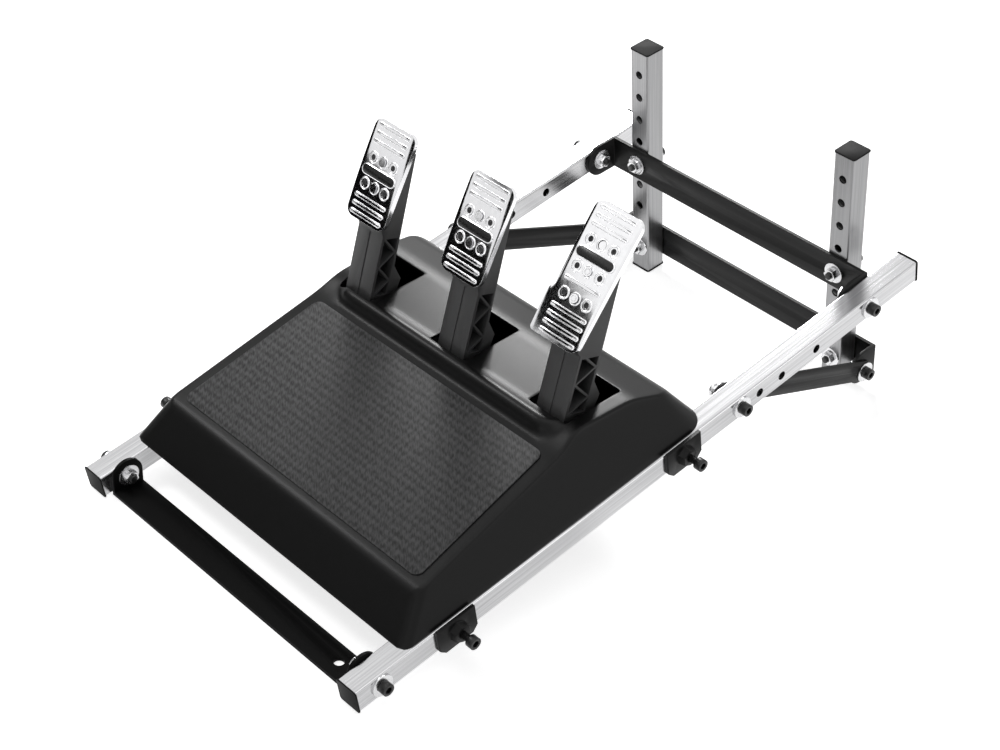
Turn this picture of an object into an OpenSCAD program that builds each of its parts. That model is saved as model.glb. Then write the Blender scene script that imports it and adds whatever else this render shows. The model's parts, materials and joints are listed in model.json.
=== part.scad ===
// Pedal stand: a raised square-tube frame that carries a three-pedal box on two sloping rails.
// Lengths are millimetres. +Z is up, the user sits on the -Y side, the posts stand at the +Y end.

/* [Frame] */
// Outside size of the square rail and post tube
tube = 20; // [15:1:40]
// Wall of the square tube
tube_wall = 1.5; // [1:0.1:3]
// Outside corner radius of the tube
tube_round = 1.6; // [0.5:0.1:4]
// Length of each sloping rail tube
rail_len = 600; // [450:5:800]
// Clear width between the two rails
rail_gap = 290.6; // [240:0.2:400]
// Length of each post tube
post_len = 228; // [160:1:320]
// Distance of each post centre from the middle
post_x = 113.6; // [70:0.2:125]
// Lean of the posts toward the user, degrees
post_lean = 6.66; // [0:0.02:15]
// Thickness of the flange on every plastic tube cap
cap_flange = 1.3; // [0.8:0.1:4]
// How far the plug of a tube cap reaches inside
cap_plug = 12; // [6:1:25]
// How far a cap flange stands proud of the tube sides
cap_proud = 0.8; // [0:0.1:2]

/* [Rail holes] */
// Clearance hole for the frame screws
hole_d = 7.5; // [5:0.1:10]
// Front crossbar screw, distance along the rail
front_bolt = 23; // [16:0.5:40]
// Brace strap screw, distance in front of the rear plate screw
brace_back = 152.1; // [145:0.1:170]
// Rear plate screw, distance in front of the rear end of the rail tube
rear_bolt_back = 57.8; // [30:0.2:90]
// Rear spare hole, distance in front of the rear plate screw
spare_back_1 = 64.9; // [50:0.1:75]
// Middle spare hole, distance in front of the rear plate screw
spare_back_2 = 105.8; // [90:0.1:118]
// Front spare hole, distance in front of the rear plate screw
spare_back_3 = 131.2; // [124:0.1:140]

/* [Post holes] */
// Height of the lowest post hole above the post foot
post_hole_z = 25.2; // [20:0.2:40]
// Pitch of the post holes
post_pitch = 22.75; // [20:0.05:30]

/* [Plates] */
// Thickness of every flat steel plate and strap
plate_t = 3; // [2:0.5:5]
// Height of the two rear cross plates
cross_h = 30; // [24:1:45]
// Reach of the upper plate tab hole in front of the plate
up_tab = 16.8; // [14:0.1:24]
// Height of the upper tab hole above the plate middle
up_tab_rise = 1.1; // [0:0.1:3]
// Width of the front crossbar
bar_w = 27; // [22:1:36]
// Width of a brace strap
strap_w = 19; // [14:0.5:26]
// Reach of the lower plate tab in front of the plate
low_tab = 17.1; // [14:0.1:24]
// Height of the lower tab hole below the plate middle
low_tab_drop = 2.2; // [0:0.1:6]
// Diameter of the spare hole near the right end of the front crossbar
bar_hole_d = 8; // [4:0.5:12]
// Distance of that spare hole from the middle
bar_hole_x = 118; // [60:1:130]

/* [Fasteners] */
// Thread diameter of the frame screws
screw_d = 6; // [4:0.5:8]
// Head diameter of the socket screws
head_d = 10; // [8:0.5:14]
// Head height of the socket screws
head_h = 6; // [4:0.5:8]
// Hex socket width across flats
socket_af = 5; // [3:0.5:7]
// Nut width across flats
nut_af = 10; // [8:0.5:14]
// Nut height
nut_h = 5; // [3:0.5:8]
// Washer diameter
washer_d = 18; // [12:0.5:24]
// Washer thickness
washer_t = 1.6; // [1:0.1:3]

/* [Clamps] */
// Front clamp position along the rail
clamp_front = 92; // [70:1:130]
// Rear clamps ahead of the brace screws, along the rail
clamp_back = 66.4; // [60:0.1:100]
// Chamfer of the lower corners of a clamp plate
clamp_cut = 5; // [3:0.5:8]
// Rise of a clamp plate above the rail top
clamp_rise = 1.5; // [0.5:0.1:3]
// Height of the hex boss on a clamp
boss_h = 6; // [4:0.5:9]
// Width of the hex boss across its corners
boss_d = 17; // [13:0.5:20]
// Length of a clamp plate along the rail
clamp_len = 36; // [28:1:50]
// Height of a clamp plate
clamp_h = 25; // [22:1:40]
// Distance of the clamp screw head from the rail side
clamp_reach = 22; // [14:1:40]

/* [Pedal box] */
// Start of the box along the rail
box_a = 47.3; // [42:0.1:60]
// Length of the box along the rail
box_len = 310; // [295:1:340]
// Distance of the box foot inside the outer side of each rail
box_inset = 2.4; // [0.5:0.1:8]
// Slope of the side walls, inward per unit of height
box_draft = 0.46; // [0.1:0.01:0.5]
// Shell wall
box_wall = 3; // [2:0.5:5]
// Radius of the moulded outer edges
box_round = 5; // [2:0.5:7]
// Radius of the hollow at the foot of the ridge
foot_round = 6; // [2:0.5:10]
// Length of the sloped chin at the front
chin_len = 30; // [15:1:45]
// Height of the chin above the rail top
chin_h = 28; // [20:0.5:36]
// Height of the foot rest rear edge above the rail top
rest_h = 47; // [40:0.5:50]
// Distance from the box front to the foot of the ridge
ridge_foot = 180; // [165:1:181]
// Length of the ridge from its foot to its top
ridge_run = 8; // [5:0.5:9]
// Height of the ridge above the rail top
ridge_h = 58.5; // [54:0.5:66]
// Drop of the deck just behind the ridge
deck_drop = 2.9; // [1:0.1:4]
// Slope of the front part of the deck, degrees below the rail
deck_slope = 7.9; // [4:0.1:9]
// Length of the gentler ramp at both ends of the ridge
cheek_run = 20; // [12:0.5:30]
// Distance of the ridge ends inside the top edges of the box
cheek_w = 5; // [2:0.5:12]
// Corner radius of the ridge seen from above
ridge_round = 18; // [8:1:30]
// Radius of the two upright front corners
front_round = 8; // [4:0.5:14]
// Radius of the two upright rear corners
rear_round = 20; // [8:1:30]
// Height of the deck rear edge above the rail top
tail_h = 34; // [28:0.5:40]
// Length of the sloped rear wall
tail_len = 21.5; // [12:0.5:30]
// Gap between the floor plate and the shell
floor_gap = 0.3; // [0.1:0.1:1]
// Thickness of the foot mat
mat_t = 1.2; // [0.8:0.1:4]
// Border of bare plastic in front of and behind the foot mat
mat_edge = 8; // [4:0.5:16]
// Border of bare plastic on both sides of the foot mat
mat_side = 10.5; // [6:0.5:16]
// Corner radius of the foot mat
mat_round = 7; // [3:0.5:14]

/* [Pedals] */
// Spacing between neighbouring pedals
pedal_gap = 107; // [98:0.5:108]
// Step back of each pedal from its left neighbour
pedal_step = 4; // [0:0.5:6]
// Middle pivot position along the rail
pivot_a = 245.2; // [242:0.1:249]
// Pivot height above the rail top
pivot_h = 24; // [20:0.5:26]
// Pivot pin diameter
pin_d = 8; // [6:0.5:10]
// Running clearance of a pin in its bore
pin_play = 0.08; // [0.02:0.01:0.1]
// Thickness of a pivot ear
ear_t = 4; // [3:0.5:6]
// Wall of plastic round the pin
ear_wall = 5; // [3:0.5:6]
// Free space between an ear and the arm foot
ear_gap = 5.5; // [5:0.1:8]
// Lean of the arms away from the user, degrees from the rail normal
arm_lean = 24.8; // [20:0.1:28]
// Width of a pedal arm
arm_w = 29.2; // [24:0.1:34]
// Width of the arm foot around the pin
foot_w = 19; // [14:0.5:22]
// Distance from the pivot to the front face of an arm
arm_front = 11.5; // [9:0.1:14]
// Distance from the pivot to the rear face of an arm
arm_rear = 7.6; // [6:0.1:12]
// Height of the wide part of the arm above the pivot
arm_low = 22; // [18:0.5:26]
// Thickness of the front and rear walls of an arm
arm_skin = 2.4; // [1.6:0.1:4]
// Thickness of the middle web and of the side ribs
rib_t = 1.8; // [1.2:0.1:3]
// Height of the first rib knot above the pivot
rib_z = 54; // [48:0.5:60]
// Rise from one rib knot to the next
rib_step = 12.5; // [10:0.5:15]
// Width of the groove down the front of an arm
groove_w = 1.6; // [0.8:0.1:4]
// Depth of that groove
groove_d = 0.6; // [0.2:0.1:1]
// Reach of the heel behind the arm
heel = 10; // [6:0.5:12]
// Free space kept between an arm and the edge of its slot
slot_gap = 5.5; // [5:0.1:8]
// Length of a deck slot along the rail
slot_len = 58; // [54:1:62]

/* [Face plates] */
// Width of a face plate
face_w = 47.4; // [44:0.2:60]
// Thickness of a face plate
face_t = 2.4; // [1.8:0.1:4]
// Depth of the folded rim of a face plate, from its front
rim_depth = 5; // [3:0.5:8]
// Wall of that folded rim
rim_wall = 1.8; // [1:0.1:3]
// Corner radius of a face plate
face_round = 8; // [4:0.5:12]
// Narrowing of a face plate on each side toward its lower edge
face_taper = 1.5; // [0:0.1:4]
// Length of the clutch and brake face plates
face_len = 81; // [80:0.2:95]
// Height of their lower edge along the arm
face_z = 88.8; // [84:0.1:96]
// Distance of their lower edge in front of the pivot line
face_y = 22.5; // [19:0.1:26]
// Extra lean of their face against the arm, degrees
face_tilt = 11; // [6:0.1:14]
// Length of the accelerator face plate
gas_len = 108; // [106:0.2:120]
// Height of its lower edge along the arm
gas_z = 86; // [80:0.1:92]
// Distance of its lower edge in front of the pivot line
gas_y = 29.5; // [26:0.1:34]
// Extra lean of its face against the arm, degrees
gas_tilt = 21.3; // [16:0.1:25]
// Step out on the left side of the accelerator plate
gas_step = 4.5; // [2:0.1:8]
// Height of that step above the lower edge
gas_step_z = 38; // [34:0.5:42]
// Distance from the lower edge to the first grip bar
grip_z = 4.4; // [4:0.1:6]
// Pitch of the grip bars
grip_pitch = 6.8; // [5.5:0.1:7]
// Length of a grip bar
grip_len = 36; // [28:0.5:38]
// Width of a grip bar
grip_w = 3.2; // [2:0.1:4]
// Height of a grip bar above the face
grip_h = 0.7; // [0.4:0.1:1.2]
// Distance from the last lower grip bar to the first hole row
row_gap = 11; // [9:0.1:12]
// Pitch of the hole rows
row_pitch = 21.6; // [20:0.1:23]
// Sideways pitch of the holes
dot_pitch = 11.6; // [10:0.1:13]
// Diameter of the open holes
dot_d = 4.6; // [3:0.1:6]
// Diameter of the pressed ring round each hole
ring_d = 8.2; // [7:0.1:9.5]
// Height of the pressed ring
ring_h = 0.5; // [0.2:0.1:1]
// Length of the blank inlay
inlay_len = 37; // [30:0.5:38]
// Width of the blank inlay
inlay_w = 7.4; // [6:0.1:8]
// Thread diameter of the face screws
face_screw_d = 4; // [3:0.5:5]
// Head diameter of the face screws
face_head_d = 7; // [6:0.1:8]

/* [Hidden] */
$fn = 48;
in_x = rail_gap / 2;
// Wall of a cap tongue, and reach of a pivot pin past its ears
cap_hollow = 2;
pin_proud = 2;
out_x = in_x + tube;
half = tube / 2;
rear_bolt = rail_len + cap_flange - rear_bolt_back;
up_z = post_hole_z + 4 * post_pitch;
// The upper tab hole on the post sets how steeply the rails rise, and where the posts stand
tab_reach = plate_t + up_tab;
tab_floor_z = -tab_reach * sin(post_lean) + (up_z + up_tab_rise) * cos(post_lean)
  + cap_proud * sin(post_lean);
rail_tilt = asin(tab_floor_z / norm([rear_bolt, half + cap_proud])) - atan((half + cap_proud) / rear_bolt);
post_foot = rear_bolt * cos(rail_tilt) - half * sin(rail_tilt) + tab_reach * cos(post_lean)
  + (up_z + up_tab_rise) * sin(post_lean);
// The flanges of the caps touch the floor, so both frames stand up by their overhang
rail_lift = cap_proud * cos(rail_tilt);
post_lift = cap_proud * sin(post_lean);
brace_bolt = rear_bolt - brace_back;
clamp_rear = brace_bolt - clamp_back;
fore_y = -(tube + cap_proud) * sin(rail_tilt);
aft_rail = (rail_len + 2 * cap_flange) * cos(rail_tilt) + cap_proud * sin(rail_tilt);
aft_screw = post_foot + (tube + plate_t + washer_t + head_h) * cos(post_lean)
  - (post_hole_z - head_d / 2) * sin(post_lean);
mid_y = (max(aft_rail, aft_screw) + fore_y) / 2;
eps = 0.01;
// Rail screw points in floor coordinates, before the shift to the middle
function rail_y(a, b) = a * cos(rail_tilt) - b * sin(rail_tilt);
function rail_z(a, b) = a * sin(rail_tilt) + b * cos(rail_tilt) + rail_lift;
front_y = rail_y(front_bolt, half);
front_z = rail_z(front_bolt, half);
brace_y = rail_y(brace_bolt, half);
brace_z = rail_z(brace_bolt, half);
low_y = tube + plate_t - low_tab;
low_z = post_hole_z - low_tab_drop;
low_floor_y = post_foot + low_y * cos(post_lean) - low_z * sin(post_lean);
low_floor_z = low_y * sin(post_lean) + low_z * cos(post_lean) + post_lift;
steel = [0.72, 0.73, 0.75];
black = [0.08, 0.08, 0.09];
zinc = [0.8, 0.8, 0.82];

module rail_frame() { translate([0, -mid_y, rail_lift]) rotate([rail_tilt, 0, 0]) children(); }
module post_frame() { translate([0, post_foot - mid_y, post_lift]) rotate([post_lean, 0, 0]) children(); }
module floor_frame() { translate([0, -mid_y, 0]) children(); }

// Rounds the outer corners of an outline
module round_out(r) { offset(r = r) offset(delta = -r) children(); }
// Square outline with round corners, centred
module round_square(s, r) { round_rect(s, s, r); }
module round_rect(w, h, r) {
  square([w, h - 2 * r], center = true);
  square([w - 2 * r, h], center = true);
  for (x = [-1, 1], y = [-1, 1]) translate([x * (w / 2 - r), y * (h / 2 - r)]) circle(r);
}
// Cylinder along X between two x positions, at y and z
module x_rod(x0, x1, y, z, d) {
  translate([min(x0, x1), y, z]) rotate([0, 90, 0]) cylinder(h = abs(x1 - x0), d = d);
}
// Cylinder along Y between two y positions, at x and z
module y_rod(y0, y1, x, z, d) {
  translate([x, max(y0, y1), z]) rotate([90, 0, 0]) cylinder(h = abs(y1 - y0), d = d);
}
// Socket screw along Z: head bottom at zero, shank downward
module socket_screw(len) {
  difference() {
    cylinder(h = head_h, d = head_d);
    translate([0, 0, head_h / 2]) cylinder(h = head_h, d = socket_af * 2 / sqrt(3), $fn = 6);
  }
  translate([0, 0, -len]) cylinder(h = len + eps, d = screw_d);
}
// Hex nut along Z from zero upward, with its clearance bore
module hex_nut() {
  difference() {
    cylinder(h = nut_h, d = nut_af * 2 / sqrt(3), $fn = 6);
    translate([0, 0, -1]) cylinder(h = nut_h + 2, d = screw_d);
  }
}
module washer(d = washer_d) {
  difference() {
    cylinder(h = washer_t, d = d);
    translate([0, 0, -1]) cylinder(h = washer_t + 2, d = screw_d + 0.4);
  }
}
// Points a child of +Z outward along +X or -X
module face_x(s) { rotate([0, s * 90, 0]) children(); }
// Points a child of +Z along +Y or -Y
module face_y(s) { rotate([-s * 90, 0, 0]) children(); }

module rail(s) {
  color(steel) rail_frame() difference() {
    translate([s * (in_x + half), cap_flange, half]) rotate([-90, 0, 0]) linear_extrude(rail_len)
      difference() {
        round_square(tube, tube_round);
        round_square(tube - 2 * tube_wall, tube_round / 3);
      }
    for (a = [front_bolt, brace_bolt, rear_bolt - spare_back_3, rear_bolt - spare_back_2,
      rear_bolt - spare_back_1, rear_bolt])
      x_rod(s * (in_x - 2), s * (out_x + 2), a, half, hole_d);
  }
}
module left_rail() { rail(-1); }
module right_rail() { rail(1); }

// A tube cap: flange outside, plug inside, along +Z from the tube end
module tube_cap() {
  linear_extrude(cap_flange) round_square(tube + 2 * cap_proud, tube_round + cap_proud);
  translate([0, 0, -cap_plug]) linear_extrude(cap_plug + eps) difference() {
    round_square(tube - 2 * tube_wall, tube_round / 3);
    square(tube - 2 * tube_wall - 2 * cap_hollow, center = true);
  }
}
module rail_caps(s) {
  color(black) rail_frame() {
    translate([s * (in_x + half), cap_flange, half]) rotate([90, 0, 0]) tube_cap();
    translate([s * (in_x + half), cap_flange + rail_len, half]) rotate([-90, 0, 0]) tube_cap();
  }
}
module left_rail_caps() { rail_caps(-1); }
module right_rail_caps() { rail_caps(1); }

module post(s) {
  color(steel) post_frame() difference() {
    translate([s * post_x, half, cap_flange]) linear_extrude(post_len) difference() {
      round_square(tube, tube_round);
      round_square(tube - 2 * tube_wall, tube_round / 3);
    }
    for (i = [0, 2, 3, 4, 5, 6, 7, 8])
      y_rod(-2, tube + 2, s * post_x, post_hole_z + i * post_pitch, hole_d);
  }
}
module left_post() { post(-1); }
module right_post() { post(1); }
module post_caps(s) {
  color(black) post_frame() {
    translate([s * post_x, half, cap_flange]) rotate([180, 0, 0]) tube_cap();
    translate([s * post_x, half, cap_flange + post_len]) tube_cap();
  }
}
module left_post_caps() { post_caps(-1); }
module right_post_caps() { post_caps(1); }

// A flat cross plate with both ends bent toward the user
module cross_plate(w, y0, zc, tab_y, tab_z) {
  difference() {
    union() {
      translate([-w / 2, y0, zc - cross_h / 2]) cube([w, plate_t, cross_h]);
      for (s = [-1, 1]) translate([s > 0 ? w / 2 - plate_t : -w / 2, 0, 0]) {
        translate([0, tab_y, zc - cross_h / 2]) cube([plate_t, y0 - tab_y + plate_t, cross_h]);
        x_rod(0, plate_t, tab_y, zc, cross_h);
      }
    }
    for (s = [-1, 1]) {
      y_rod(y0 - 2, y0 + plate_t + 2, s * post_x, zc, hole_d);
      x_rod(s * (w / 2 - plate_t - 2), s * (w / 2 + 2), tab_y, tab_z, hole_d);
    }
  }
}
module upper_cross_plate() {
  color(black) post_frame() cross_plate(rail_gap, -plate_t, up_z, -tab_reach, up_z + up_tab_rise);
}
module lower_cross_plate() {
  color(black) post_frame() cross_plate(rail_gap - 2 * plate_t, tube, post_hole_z, low_y, low_z);
}

module front_crossbar() {
  color(black) floor_frame() difference() {
    union() {
      translate([-in_x, front_y - bar_w / 2, 0]) cube([rail_gap, bar_w, plate_t]);
      for (s = [-1, 1]) translate([s > 0 ? in_x - plate_t : -in_x, 0, 0]) {
        translate([0, front_y - bar_w / 2, 0]) cube([plate_t, bar_w, front_z]);
        x_rod(0, plate_t, front_y, front_z, bar_w);
      }
    }
    translate([bar_hole_x, front_y, -1]) cylinder(h = plate_t + 2, d = bar_hole_d);
    for (s = [-1, 1]) x_rod(s * (in_x - plate_t - 2), s * (in_x + 2), front_y, front_z, hole_d);
  }
}

strap_run = norm([low_floor_y - brace_y, low_floor_z - brace_z]);
strap_dip = atan2(low_floor_z - brace_z, low_floor_y - brace_y);
module brace_strap(s) {
  color(black) floor_frame() translate([s > 0 ? in_x - plate_t : -in_x, brace_y, brace_z])
    rotate([strap_dip, 0, 0]) difference() {
      union() {
        translate([0, 0, -strap_w / 2]) cube([plate_t, strap_run, strap_w]);
        x_rod(0, plate_t, 0, 0, strap_w);
        x_rod(0, plate_t, strap_run, 0, strap_w);
      }
      x_rod(-1, plate_t + 1, 0, 0, hole_d);
      x_rod(-1, plate_t + 1, strap_run, 0, hole_d);
    }
}
module left_brace_strap() { brace_strap(-1); }
module right_brace_strap() { brace_strap(1); }

// Screws through a rail and a tab: head outside, long enough for the nut inside
rail_screw = tube + washer_t + plate_t + washer_t + nut_h + 2;
module rail_screws(a) {
  rail_frame() for (s = [-1, 1])
    translate([s * (out_x + washer_t), a, half]) face_x(s) socket_screw(rail_screw);
}
module front_screws() { color(black) rail_screws(front_bolt); }
module brace_screws() { color(black) rail_screws(brace_bolt); }
module rear_rail_screws() { color(black) rail_screws(rear_bolt); }

post_screw = tube + 2 * washer_t + plate_t + nut_h + 2;
module upper_post_screws() {
  color(black) post_frame() for (s = [-1, 1])
    translate([s * post_x, tube + washer_t, up_z]) face_y(1) socket_screw(post_screw);
}
module lower_post_screws() {
  color(black) post_frame() for (s = [-1, 1])
    translate([s * post_x, tube + plate_t + washer_t, post_hole_z]) face_y(1) socket_screw(post_screw);
}
tab_screw = 2 * plate_t + 2 * washer_t + nut_h + 2;
module lower_tab_screws() {
  color(black) post_frame() for (s = [-1, 1])
    translate([s * (in_x + washer_t), low_y, low_z]) face_x(s) socket_screw(tab_screw);
}
// Washers under the heads and washer plus nut at the far ends
module nuts_and_washers() {
  color(zinc) {
    rail_frame() for (s = [-1, 1], a = [front_bolt, brace_bolt, rear_bolt]) {
      translate([s * out_x, a, half]) face_x(s) washer();
      translate([s * (in_x - plate_t), a, half]) face_x(-s) {
        washer();
        translate([0, 0, washer_t]) hex_nut();
      }
    }
    post_frame() for (s = [-1, 1]) {
      translate([s * post_x, tube, up_z]) face_y(1) washer();
      translate([s * post_x, -plate_t, up_z]) face_y(-1) {
        washer();
        translate([0, 0, washer_t]) hex_nut();
      }
      translate([s * post_x, tube + plate_t, post_hole_z]) face_y(1) washer();
      translate([s * post_x, 0, post_hole_z]) face_y(-1) {
        washer();
        translate([0, 0, washer_t]) hex_nut();
      }
      translate([s * in_x, low_y, low_z]) face_x(s) washer();
      translate([s * (in_x - 2 * plate_t), low_y, low_z]) face_x(-s) {
        washer();
        translate([0, 0, washer_t]) hex_nut();
      }
    }
  }
}

// Clamp: plate on the rail side with chamfered lower corners and a hex boss for the long screw
clamp_b = tube + clamp_rise - clamp_h;
module clamp_outline() {
  polygon([[-clamp_len / 2, tube + clamp_rise], [clamp_len / 2, tube + clamp_rise],
    [clamp_len / 2, clamp_b + clamp_cut], [clamp_len / 2 - clamp_cut, clamp_b],
    [clamp_cut - clamp_len / 2, clamp_b], [-clamp_len / 2, clamp_b + clamp_cut]]);
}
module clamp(s, a) {
  color(black) rail_frame() difference() {
    union() {
      translate([s > 0 ? out_x : -out_x - plate_t, a, 0]) rotate([90, 0, 90])
        linear_extrude(plate_t) clamp_outline();
      translate([s * (out_x + plate_t), a, half]) face_x(s)
        cylinder(h = boss_h, d1 = boss_d, d2 = boss_d - 2, $fn = 6);
    }
    x_rod(s * (out_x - 1), s * (out_x + plate_t + boss_h + 2), a, half, screw_d);
  }
}
module front_left_clamp() { clamp(-1, clamp_front); }
module front_right_clamp() { clamp(1, clamp_front); }
module rear_left_clamp() { clamp(-1, clamp_rear); }
module rear_right_clamp() { clamp(1, clamp_rear); }
module clamp_screws() {
  color(black) rail_frame() for (s = [-1, 1], a = [clamp_front, clamp_rear])
    translate([s * (out_x + clamp_reach - head_h), a, half]) face_x(s)
      socket_screw(clamp_reach - head_h);
}

// The box: cheek outline along both sides, ridge and sunk deck between them
box_w = 2 * (out_x - box_inset);
ridge_top = ridge_foot + ridge_run;
deck_a = ridge_top + ridge_run;
deck_h = ridge_h - deck_drop;
knee_a = deck_a + slot_len;
knee_h = deck_h - slot_len * tan(deck_slope);
tail_a = box_len - tail_len;
deck_w = box_w - 2 * box_draft * ridge_h - 2 * cheek_w;
box_top = ridge_h + box_wall;
front_slope = chin_len / chin_h;
rear_slope = tail_len / tail_h;
function deck_z(y) = deck_h - (y - deck_a) * tan(deck_slope);
module cheek_side() {
  polygon([[0, -1], [0, 0], [chin_len, chin_h], [ridge_foot, rest_h],
    [ridge_foot + cheek_run, deck_z(ridge_foot + cheek_run)], [knee_a, knee_h], [tail_a, tail_h],
    [box_len, 0], [box_len, -1]]);
}
module deck_side() {
  polygon([[0, -1], [0, 0], [chin_len, chin_h], [ridge_foot, rest_h], [ridge_top, ridge_h],
    [deck_a, deck_h], [knee_a, knee_h], [tail_a, tail_h], [box_len, 0], [box_len, -1]]);
}
// Tapered block with the four sloping walls of the box and its rounded upright corners
module corner_rods(z, inset) {
  fr = front_round - inset / 2;
  rr = rear_round - inset;
  hw = box_w / 2 - box_draft * z - inset;
  for (s = [-1, 1]) {
    translate([s * (hw - fr), front_slope * z + inset + fr, z]) cylinder(h = eps, r = fr);
    translate([s * (hw - rr), box_len - rear_slope * z - inset - rr, z]) cylinder(h = eps, r = rr);
  }
}
module box_block(inset) {
  hull() {
    corner_rods(0, inset);
    corner_rods(box_top, inset);
  }
}
module along_x(w) { translate([-w / 2, 0, 0]) rotate([90, 0, 90]) linear_extrude(w) children(); }
module box_outer() {
  intersection() {
    union() {
      along_x(box_w) round_out(box_round) cheek_side();
      intersection() {
        along_x(deck_w) round_out(box_round) deck_side();
        translate([0, (ridge_foot + box_len + ridge_round) / 2, 0]) linear_extrude(box_top)
          round_rect(deck_w, box_len + ridge_round - ridge_foot, ridge_round);
      }
    }
    box_block(0);
  }
}
module box_void() {
  intersection() {
    along_x(box_w) offset(delta = -box_wall) cheek_side();
    along_x(box_w) offset(delta = -box_wall) deck_side();
    box_block(box_wall);
  }
}
slot_w = arm_w + 2 * slot_gap;
slot_a = pivot_a - box_a + (deck_h - pivot_h) * tan(arm_lean) - arm_front / cos(arm_lean) - slot_gap;
lid_w = box_w - 2 * box_wall - box_round;
lid_a = box_wall + box_round;
lid_len = box_len - 2 * lid_a;
module box_frame() { rail_frame() translate([0, box_a, tube]) children(); }
module box_shell() {
  color(black) box_frame() difference() {
    box_outer();
    box_void();
    translate([-lid_w / 2, lid_a, -1]) cube([lid_w, lid_len, box_wall + 2]);
    for (i = [-1, 0, 1])
      translate([i * pedal_gap, slot_a + slot_len / 2 + i * pedal_step, knee_h - 2 * box_wall])
        linear_extrude(ridge_h) round_rect(slot_w, slot_len, box_wall);
  }
}
module box_floor() {
  color(black) box_frame() translate([-lid_w / 2 + floor_gap, lid_a + floor_gap, 0])
    cube([lid_w - 2 * floor_gap, lid_len - 2 * floor_gap, box_wall]);
}
rest_slope = atan2(rest_h - chin_h, ridge_foot - chin_len);
rest_len = (ridge_foot - chin_len) / cos(rest_slope);
// Half width of the foot mat where the rest is z high, parallel to the edges of the box
function mat_half(z) = box_w / 2 - box_draft * z - mat_side;
module foot_mat() {
  color([0.2, 0.2, 0.21]) box_frame() translate([0, chin_len, chin_h]) rotate([rest_slope, 0, 0])
    linear_extrude(mat_t) round_out(mat_round) polygon([[-mat_half(chin_h), mat_edge],
      [mat_half(chin_h), mat_edge], [mat_half(rest_h), rest_len - mat_edge],
      [-mat_half(rest_h), rest_len - mat_edge]]);
}

// Pivot point of the pedals, seen from the box corner
piv_a = pivot_a - box_a;
ear_x = foot_w / 2 + ear_gap;
ear_d = pin_d + 2 * ear_wall;
module pivot_brackets() {
  color(black) box_frame() for (i = [-1, 0, 1])
    translate([i * pedal_gap, piv_a + i * pedal_step, 0]) difference() {
      for (s = [-1, 1]) translate([s > 0 ? ear_x : -ear_x - ear_t, 0, 0]) {
        translate([0, -ear_d / 2, box_wall]) cube([ear_t, ear_d, pivot_h - box_wall]);
        x_rod(0, ear_t, 0, pivot_h, ear_d);
      }
      x_rod(-ear_x - ear_t - 1, ear_x + ear_t + 1, 0, pivot_h, pin_d);
    }
}
module pivot_pins() {
  color(zinc) box_frame() for (i = [-1, 0, 1])
    x_rod(i * pedal_gap - ear_x - ear_t - pin_proud, i * pedal_gap + ear_x + ear_t + pin_proud,
      piv_a + i * pedal_step, pivot_h, pin_d);
}
module pedal_frame(i) {
  box_frame() translate([i * pedal_gap, piv_a + i * pedal_step, pivot_h])
    rotate([-arm_lean, 0, 0]) children();
}
// Frame on the lower edge of a face plate, plate in the XZ plane, front toward -Y
module face_frame(i, y, z, tilt) {
  pedal_frame(i) translate([0, -y, z]) rotate([-tilt, 0, 0]) children();
}
// Thick line between two points
module rib(p, q) {
  translate(p) rotate(atan2(q[1] - p[1], q[0] - p[0])) translate([0, -rib_t / 2])
    square([norm(q - p), rib_t]);
}
// Side pocket between the front and rear walls, crossed by zigzag ribs
module arm_pocket(rear, top) {
  f = -arm_front + arm_skin;
  b = rear - arm_skin;
  difference() {
    polygon([[f, rib_z - 2 * rib_step], [f, top], [b, top], [b, rib_z - rib_step],
      [b, rib_z - 2 * rib_step]]);
    rib([f, rib_z - 2 * rib_step], [b, rib_z - rib_step]);
    rib([b, rib_z - rib_step], [f, rib_z]);
    rib([f, rib_z], [b, rib_z + rib_step]);
    rib([b, rib_z + rib_step], [f, rib_z + 2 * rib_step]);
  }
}
// Arm: side outline with a heel behind, pockets on both sides, foot round the pin
module arm(i, fy, fz, ftilt, flen, rear) {
  by = -fy + face_t * cos(ftilt);
  bz = fz - face_t * sin(ftilt);
  low = arm_skin * 3;
  top = flen - row_gap;
  color(black) difference() {
    pedal_frame(i) {
      translate([-arm_w / 2, 0, 0]) rotate([90, 0, 90]) linear_extrude(arm_w)
        round_out(arm_skin / 2) polygon([
        [-arm_front, arm_low], [-arm_front, bz - low], [by + low * sin(ftilt), bz + low * cos(ftilt)],
        [by + top * sin(ftilt), bz + top * cos(ftilt)], [rear - rib_t, bz + top * cos(ftilt) - low],
        [rear, rib_z], [rear + heel, rib_z - rib_step], [rear + heel * 0.7, arm_low + arm_skin]]);
      translate([-foot_w / 2, 0, 0]) rotate([90, 0, 90]) linear_extrude(foot_w) {
        circle(d = pin_d + 2 * ear_wall);
        polygon([[-arm_front, arm_skin], [-arm_front, arm_low + arm_skin],
          [rear + heel / 2, arm_low + arm_skin * 2], [pin_d, 0]]);
      }
    }
    pedal_frame(i) {
      x_rod(-arm_w, arm_w, 0, 0, pin_d + 2 * pin_play);
      translate([-groove_w / 2, -arm_front - 1, arm_low - 1])
        cube([groove_w, groove_d + 1, bz - low - arm_low]);
      for (s = [-1, 1]) translate([s > 0 ? rib_t / 2 : -arm_w / 2 - 1, 0, 0]) rotate([90, 0, 90])
        linear_extrude(arm_w / 2 + 1 - rib_t / 2) arm_pocket(rear, bz - low - arm_skin);
    }
    face_frame(i, fy, fz, ftilt) for (z = screw_rows(flen))
      y_rod(-1, face_t + screw_bite + 1, 0, z, face_screw_d);
  }
}
screw_bite = 4;
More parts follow.
